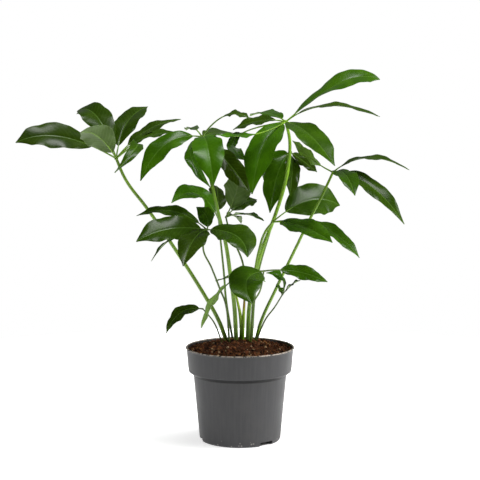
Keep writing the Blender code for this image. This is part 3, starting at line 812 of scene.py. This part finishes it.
def drain_notch(angle, collection):
    """A block with softened edges that cuts one drain notch through the foot of the wall."""
    form = bmesh.new()
    bmesh.ops.create_cube(form, size=1.0)
    for corner in form.verts:
        corner.co = Vector((corner.co.x * NOTCH_WIDTH, corner.co.y * NOTCH_DEPTH,
                            corner.co.z * 2.0 * NOTCH_HEIGHT)) * MM
    bmesh.ops.bevel(form, geom=form.edges[:], offset=NOTCH_ROUNDING * MM, segments=3, affect="EDGES",
                      profile=0.5)
    mesh = bpy.data.meshes.new("notch")
    form.to_mesh(mesh)
    form.free()
    block = bpy.data.objects.new("notch", mesh)
    collection.objects.link(block)
    turn = math.radians(angle)
    block.rotation_euler = (0.0, 0.0, turn)
    block.location = (math.sin(turn) * FOOT_RADIUS * MM, -math.cos(turn) * FOOT_RADIUS * MM, 0.0)


def cut(obj, collection):
    """Cuts every object of a collection out of this one, then removes them and the collection."""
    bpy.context.scene.collection.children.link(collection)
    change = obj.modifiers.new("Cut", "BOOLEAN")
    change.operation = "DIFFERENCE"
    change.operand_type = "COLLECTION"
    change.collection = collection
    change.solver = "EXACT"
    view = bpy.context.evaluated_depsgraph_get()
    view.update()
    mesh = bpy.data.meshes.new_from_object(obj.evaluated_get(view))
    obj.modifiers.clear()
    obj.data = mesh
    for tool in list(collection.objects):
        bpy.data.objects.remove(tool, do_unlink=True)
    bpy.data.collections.remove(collection)


def make_pot():
    form = Form()
    lathe(form, pot_profile(), POT_STEPS)
    pot = form.finish("pot_shell", [pot_skin()], 40.0)
    cutters = bpy.data.collections.new("notches")
    for angle in NOTCH_ANGLES:
        drain_notch(angle, cutters)
    cut(pot, cutters)
    shade(pot.data, 40.0)
    stand_for(pot, "pot")


# Potting mix


def soil_height(radius, turn):
    """The mix's surface in millimetres: a low mound that leans to the back, where the stems stand."""
    edge = POT_HEIGHT - SOIL_EDGE_BELOW_RIM
    reach = BAND_TOP_RADIUS - WALL
    share = min(radius / reach, 1.0)
    lean = SOIL_LEAN * share * math.sin(turn)
    rise = (1.0 + math.cos(math.pi * max(0.0, share - lean))) / 2.0
    return edge + SOIL_MOUND * rise * (1.0 - share ** 6)


def soil_surface(x, y):
    """The mound with its clumps and grains, in millimetres."""
    radius = math.hypot(x, y)
    clumps = noise.fractal(Vector((x, y, 0.0)) / CLUMP_SIZE, 1.0, 2.0, 3)
    grains = noise.noise(Vector((x, y, 7.0)) / GRAIN_SIZE)
    hold = smoothstep(BAND_TOP_RADIUS - WALL - 1.0, BAND_TOP_RADIUS - WALL - 8.0, radius)
    rough = CLUMP_HEIGHT * clumps + GRAIN_HEIGHT * grains
    return soil_height(radius, math.atan2(y, x)) + rough * (0.45 + 0.55 * hold)


def soil_profile():
    """The mix's section, one gap inside the pot, from the top's middle to the underside's."""
    edge = BAND_TOP_RADIUS - WALL - 2.0 * GAP
    level = POT_HEIGHT - SOIL_EDGE_BELOW_RIM
    top = [(edge * i / SOIL_RINGS, level) for i in range(SOIL_RINGS + 1)]
    wall_foot = FLOOR + GAP + SOIL_FOOT_CHAMFER
    side = [
        (BAND_BOTTOM_RADIUS - WALL - 2.0 * GAP, LEDGE_LEVEL + LEDGE_HEIGHT + 2.0 * SOFT_EDGE + GAP),
        (WALL_TOP_RADIUS - WALL - 2.0 * GAP, LEDGE_LEVEL + SOFT_EDGE + GAP),
        (pot_outer_radius(wall_foot) - WALL - 2.0 * GAP, wall_foot),
        (FOOT_RADIUS - FOOT_ROUNDING - WALL - SOIL_FOOT_CHAMFER, FLOOR + GAP),
        (0.0, FLOOR + GAP),
    ]
    return top + side


def stem_feet():
    """Each stem's lowest two points and its radius there."""
    feet = [(leaf["stem"][0], leaf["stem"][1], leaf["radius"][0]) for leaf in LEAVES.values()]
    feet.append((SHOOT_LEFT[0], SHOOT_LEFT[1], SHOOT_RADII[0]))
    feet.append((SHOOT_RIGHT[0], SHOOT_RIGHT[1], SHOOT_RADII[0]))
    return feet


def stem_hole(first, second, radius, collection):
    """A plain blind hole along a stem's lowest stretch."""
    foot = mm_point(first)
    along = (mm_point(second) - foot).normalized()
    low = foot - along * (STEM_DEPTH + 2.0 * GAP) * MM
    high = foot + along * STEM_DEPTH * MM
    span = high - low
    mesh = bpy.data.meshes.new("hole")
    form = bmesh.new()
    bmesh.ops.create_cone(form, cap_ends=True, segments=HOLE_SIDES, depth=span.length,
                          radius1=(radius + HOLE_CLEARANCE) * MM, radius2=(radius + HOLE_CLEARANCE) * MM)
    form.to_mesh(mesh)
    form.free()
    hole = bpy.data.objects.new("hole", mesh)
    collection.objects.link(hole)
    hole.rotation_mode = "QUATERNION"
    hole.rotation_quaternion = span.to_track_quat("Z", "Y")
    hole.location = (low + high) / 2.0


def clear_of_stems(x, y, spare, feet):
    return all(math.hypot(x - first[0], y - first[1]) > radius + spare for first, _second, radius in feet)


def scatter(chance, reach):
    """A random place on the mix, even over its area."""
    radius = reach * math.sqrt(chance.random())
    turn = chance.uniform(0.0, TWO_PI)
    return radius * math.cos(turn), radius * math.sin(turn)


def add_crumb(form, template, chance, place, size, light):
    """A small angular lump of mix, half sunk in the surface."""
    turn = Quaternion((chance.uniform(-1, 1), chance.uniform(-1, 1), chance.uniform(-1, 1), 1.0)).normalized()
    stretch = Vector((chance.uniform(0.6, 1.5), chance.uniform(0.6, 1.2), chance.uniform(0.5, 0.9)))

    def place_of(point):
        return turn @ (point * stretch * (size * MM * chance.uniform(0.72, 1.18))) + place

    add_ball(form, template, place_of, loose=1.0, shade=light)


def add_fibre(form, chance, place, length, thickness, light):
    """A thin bent root or peat fibre that lies on the surface."""
    heading = chance.uniform(0.0, TWO_PI)
    bend = chance.uniform(-1.4, 1.4)
    steps = 5
    path = []
    for i in range(steps + 1):
        t = i / steps - 0.5
        angle = heading + bend * t
        x = place[0] + math.cos(angle) * length * t
        y = place[1] + math.sin(angle) * length * t
        lift = chance.uniform(0.1, 0.9)
        path.append(Vector((x, y, soil_surface(x, y) + lift)) * MM)
    radii = [thickness * MM * (1.0 - 0.6 * abs(2.0 * i / steps - 1.0)) for i in range(steps + 1)]
    sweep(form, path, radii, 4, loose=1.0, shade=light)


def taken_over(form, mesh):
    """Adds a mesh's points and faces to a form."""
    first = len(form.points)
    for vertex in mesh.vertices:
        form.point(vertex.co.copy())
    for polygon in mesh.polygons:
        form.face(tuple(first + corner for corner in polygon.vertices))


def make_soil():
    skin = soil_skin()
    level = POT_HEIGHT - SOIL_EDGE_BELOW_RIM

    def height_at(x, y, height):
        return soil_surface(x, y) if height > level - GAP else height

    bare = Form()
    lathe(bare, soil_profile(), SOIL_STEPS, height_at)
    ground = bare.finish("ground", [skin], 180.0)
    holes = bpy.data.collections.new("holes")
    feet = stem_feet()
    for first, second, radius in feet:
        stem_hole(first, second, radius, holes)
    cut(ground, holes)

    form = Form("loose", "shade")
    taken_over(form, ground.data)
    bpy.data.objects.remove(ground, do_unlink=True)
    lump = ball(1)
    chance = random.Random(LOOKS_SEED)
    reach = BAND_TOP_RADIUS - WALL
    for _ in range(CRUMBS):
        size = CRUMB_SIZE + CRUMB_SIZE_SPREAD * chance.random() ** 3
        x, y = scatter(chance, reach - size - 0.8)
        light = chance.random()
        if clear_of_stems(x, y, size + 0.4, feet):
            place = Vector((x, y, soil_surface(x, y) + CRUMB_LIFT * size)) * MM
            add_crumb(form, lump, chance, place, size, light)
    for _ in range(FIBRES):
        length = chance.uniform(*FIBRE_LENGTH)
        x, y = scatter(chance, reach - length / 2.0 - 1.5)
        light = chance.uniform(0.45, 0.96)
        if clear_of_stems(x, y, length / 2.0 + 0.5, feet):
            add_fibre(form, chance, (x, y), length, chance.uniform(*FIBRE_THICKNESS), light)
    soil = form.finish("potting_mix_surface", [skin], 30.0)
    stand_for(soil, "potting_mix")


# Leaves


def midrib(hub, spec, s):
    """The point at share s of a leaflet's bowed line from the hub to its tip."""
    tip = mm_point(spec["tip"])
    bend = (hub + tip) / 2.0 + 2.0 * mm_point(spec["bow"])
    return hub * (1.0 - s) ** 2 + bend * 2.0 * s * (1.0 - s) + tip * s * s


def blade_shape(u):
    """Half of a blade's width at share u of its length, as a share of its greatest half width."""
    body = math.sin(math.pi * u ** BLADE_SKEW) ** BLADE_FULLNESS if 0.0 < u < 1.0 else 0.0
    drawn_out = max(0.0, (u - POINT_START) / (1.0 - POINT_START))
    return body * (1.0 - POINT_TAPER * drawn_out)


def blade_frame(hub, spec, u):
    """The midrib's point at share u of a blade, and its directions along, across and up."""
    length = (mm_point(spec["tip"]) - hub).length
    s = lerp(spec["stalk"] * MM / length, 1.0, u)
    along = (midrib(hub, spec, s + SLOPE_STEP) - midrib(hub, spec, s - SLOPE_STEP)).normalized()
    flat = Vector(spec["face"]).cross(along).normalized()
    side = Quaternion(along, math.radians(spec["twist"]) * (u - 0.5)) @ flat
    return midrib(hub, spec, s), along, side, along.cross(side)


def blade_row(hub, spec, phase, u):
    """A function of v, from -1 to 1 across the blade at share u, that gives the sheet's middle there."""
    rib, _along, side, up = blade_frame(hub, spec, u)
    notch = 1.0 + EDGE_NOTCH_DEPTH * math.sin(TWO_PI * EDGE_NOTCHES * u + phase)
    shape = blade_shape(u)
    half = max(spec["width"] / 2.0 * shape * notch, BLADE_END) * MM
    fold = math.radians(FOLD)

    def point(v):
        lag = math.copysign(WAVE_LAG, v)
        wave = math.sin(TWO_PI * WAVES * u + phase + lag) * WAVE_HEIGHT * MM * shape
        ripple = math.sin(TWO_PI * RIPPLES * u + 2.0 * phase - lag) * RIPPLE_HEIGHT * MM * shape
        rise = half * (abs(v) * math.sin(fold) - v * v * EDGE_DROP) + wave * v * v + ripple * v ** 4
        return rib + side * half * v * math.cos(fold) + up * rise

    return point, half, up


def add_blade(form, hub, spec, phase):
    """A thin closed blade: an upper and a lower sheet with relief, joined around their edge."""
    length = (mm_point(spec["tip"]) - hub).length - spec["stalk"] * MM
    upper, lower = [], []
    for i in range(ROWS + 1):
        u = i / ROWS
        point, half, up = blade_row(hub, spec, phase, u)
        upper_row, lower_row = [], []
        for j in range(COLUMNS + 1):
            v = 2.0 * j / COLUMNS - 1.0
            off = abs(v) * half / MM
            vein = (u * length / MM - VEIN_SLANT * off - VEIN_BEND * off * off) / VEIN_SPACING
            vein += 0.5 if v < 0.0 else 0.0
            held = smoothstep(0.0, 2.5, off) * smoothstep(1.0, 0.8, abs(v))
            quilt = (abs(math.sin(math.pi * vein)) ** 0.7 - 0.6) * QUILT * held
            groove = GROOVE_DEPTH * math.exp(-(off / GROOVE_WIDTH) ** 2) * smoothstep(0.0, 4.0, half / MM)
            thin = SHEET / 2.0 * (1.0 - 0.6 * abs(v) ** 8)
            middle = point(v)
            for row, lift in ((upper_row, thin + quilt - groove), (lower_row, quilt - groove - thin)):
                row.append(form.point(middle + up * lift * MM, across=v * half / MM, vein=vein + VEIN_START,
                                      edge=abs(v), tone=spec["tone"]))
        upper.append(upper_row)
        lower.append(lower_row)
    for i in range(ROWS):
        for j in range(COLUMNS):
            form.face((upper[i][j], upper[i + 1][j], upper[i + 1][j + 1], upper[i][j + 1]))
            form.face((lower[i][j], lower[i][j + 1], lower[i + 1][j + 1], lower[i + 1][j]), 1)
        form.face((upper[i][0], lower[i][0], lower[i + 1][0], upper[i + 1][0]))
        form.face((upper[i + 1][-1], lower[i + 1][-1], lower[i][-1], upper[i][-1]))
    for j in range(COLUMNS):
        form.face((upper[0][j + 1], lower[0][j + 1], lower[0][j], upper[0][j]))
        form.face((upper[-1][j], lower[-1][j], lower[-1][j + 1], upper[-1][j + 1]))


def add_stalk(form, hub, spec, tone):
    """A leaflet's stalk, run on under the blade as its raised midrib."""
    length = (mm_point(spec["tip"]) - hub).length
    start = spec["stalk"] * MM / length
    path, radii = [], []
    for i in range(STALK_STEPS + 1):
        s = RIB_END * i / STALK_STEPS
        point = midrib(hub, spec, s)
        if s < start:
            radius = lerp(STALK_RADIUS[0], STALK_RADIUS[1], s / start)
            sunk = 0.0
        else:
            u = (s - start) / (1.0 - start)
            _rib, _along, _side, up = blade_frame(hub, spec, u)
            radius = lerp(RIB_RADIUS, RIB_END_RADIUS, u ** 0.7)
            radius = lerp(STALK_RADIUS[1], radius, smoothstep(0.0, 0.12, u))
            sunk = smoothstep(0.0, 0.1, u) * (GROOVE_DEPTH + 0.3)
            point = point - up * sunk * MM
        path.append(point)
        radii.append(radius * MM)
    sweep(form, path, radii, STALK_SIDES, 2, tone=tone)


def add_hub(form, template, hub, radius, tone):
    """The small knob where the leaflets' stalks meet."""

    def place_of(point):
        return hub + point * (radius * MM * (1.0 + HUB_LUMPS * noise.noise(point * 1.5 + hub * 100.0)))

    add_ball(form, template, place_of, 2, tone=tone)


def make_leaf(name, leaf, chance, knob, materials):
    form = Form("across", "vein", "edge", "tone")
    base, top = leaf["radius"]
    path = smooth_path(buried(leaf["stem"]), PATH_PIECES)
    last = len(path) - 1
    radii = [lerp(base, top, i / last) * MM for i in range(last + 1)]
    tone = leaf["stem_tone"]
    sweep(form, path, radii, STEM_SIDES, 2, STEM_RIDGE_HEIGHT, tone=tone)
    hub = mm_point(leaf["stem"][-1])
    add_hub(form, knob, hub, top * HUB_SWELL, tone)
    for spec in leaf["leaflets"]:
        phase = chance.uniform(0.0, TWO_PI)
        add_stalk(form, hub, spec, tone)
        add_blade(form, hub, spec, phase)
    piece = form.finish(f"{name}_foliage", materials, 60.0)
    stand_for(piece, name)


def make_shoot():
    form = Form()
    radii = (SHOOT_RADII[0], *SHOOT_RADII)
    for knots in (SHOOT_LEFT, SHOOT_RIGHT):
        path = smooth_path(buried(knots), PATH_PIECES)
        last = len(path) - 1
        widths = []
        for i in range(last + 1):
            at = i / last * (len(radii) - 1)
            low = min(int(at), len(radii) - 2)
            widths.append(lerp(radii[low], radii[low + 1], at - low) * MM)
        sweep(form, path, widths, STEM_SIDES, 0, STEM_RIDGE_HEIGHT)
    piece = form.finish("new_shoot_tongues", [shoot_skin()], 60.0)
    stand_for(piece, "new_shoot")


# Studio


def make_floor():
    """A round white floor that glows more towards its edge, so that no line shows where it ends."""
    form = Form()
    corners = []
    for i in range(FLOOR_STEPS):
        turn = TWO_PI * i / FLOOR_STEPS
        corners.append(form.point((FLOOR_RADIUS * math.cos(turn), FLOOR_RADIUS * math.sin(turn), 0.0)))
    form.face(tuple(corners))
    shader = Shader("studio_floor")
    x, y, _z = shader.split(shader.place())
    squares = shader.math("ADD", shader.math("MULTIPLY", x, x), shader.math("MULTIPLY", y, y))
    far = shader.math("SQRT", squares)
    glow = shader.span(far, *FLOOR_GLOW_REACH, *FLOOR_GLOW)
    shader.surface_is(Base_Color=(0.86, 0.86, 0.86), Roughness=0.9, Specular_IOR_Level=0.0,
                      Emission_Color=(1.0, 1.0, 1.0), Emission_Strength=glow)
    floor = form.finish("floor", [shader.material], 30.0)


def soft_box_axis(azimuth, elevation):
    """The direction of a soft box, from its angles in degrees."""
    turn, rise = math.radians(azimuth), math.radians(elevation)
    return Vector((math.sin(turn) * math.cos(rise), -math.cos(turn) * math.cos(rise), math.sin(rise)))


def make_world():
    """White behind the object for the camera, and a dim studio with soft boxes for light."""
    world = bpy.data.worlds.new("studio")
    world.use_nodes = True
    sky = Nodes(world.node_tree)
    new = sky.tree.nodes.new
    sky.tree.nodes.clear()
    direction = new("ShaderNodeTexCoord").outputs["Generated"]
    level = sky.span(sky.split(direction)[1], *SKY_TURN, SKY_FRONT, SKY_BACK)
    for azimuth, elevation, full, end, strength in SOFT_BOXES.values():
        towards = new("ShaderNodeVectorMath")
        towards.operation = "DOT_PRODUCT"
        sky.feed(towards.inputs[0], direction)
        sky.feed(towards.inputs[1], soft_box_axis(azimuth, elevation))
        low, high = math.cos(math.radians(end)), math.cos(math.radians(full))
        level = sky.math("ADD", level, sky.span(towards.outputs["Value"], low, high, 0.0, strength))
    light = new("ShaderNodeBackground")
    sky.feed(light.inputs["Color"], level)
    white = new("ShaderNodeBackground")
    sky.feed(white.inputs["Color"], (1.0, 1.0, 1.0))
    choose = new("ShaderNodeMixShader")
    sky.feed(choose.inputs[0], new("ShaderNodeLightPath").outputs["Is Camera Ray"])
    sky.feed(choose.inputs[1], light.outputs[0])
    sky.feed(choose.inputs[2], white.outputs[0])
    sky.feed(new("ShaderNodeOutputWorld").inputs["Surface"], choose.outputs[0])
    bpy.context.scene.world = world


def aim(obj, place, target):
    obj.location = place
    obj.rotation_euler = (Vector(target) - Vector(place)).to_track_quat("-Z", "Y").to_euler()


def make_lamps():
    for name, (place, target, side, power, colour) in LAMPS.items():
        lamp = bpy.data.lights.new(name, "AREA")
        lamp.shape = "RECTANGLE"
        lamp.size = lamp.size_y = side
        lamp.energy = power
        lamp.color = colour
        obj = link(bpy.data.objects.new(name, lamp))
        aim(obj, place, target)
        obj.visible_camera = False
        obj.visible_glossy = False


def make_camera():
    camera = bpy.data.cameras.new("camera")
    camera.lens = LENS
    camera.sensor_width = SENSOR
    camera.clip_end = 100.0
    obj = link(bpy.data.objects.new("camera", camera))
    aim(obj, CAMERA_PLACE, CAMERA_AIM)
    bpy.context.scene.camera = obj


def set_picture():
    scene = bpy.context.scene
    scene.view_settings.view_transform = "Standard"
    scene.view_settings.look = "None"
    scene.cycles.use_denoising = True
    scene.cycles.max_bounces = 6


def main():
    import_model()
    make_camera()
    make_world()
    make_lamps()
    make_floor()
    set_picture()
    make_pot()
    make_soil()
    chance = random.Random(SEED)
    knob = ball(3)
    materials = [upper_side(), under_side(), stalk_skin()]
    for name, leaf in LEAVES.items():
        make_leaf(name, leaf, chance, knob, materials)
    make_shoot()


main()
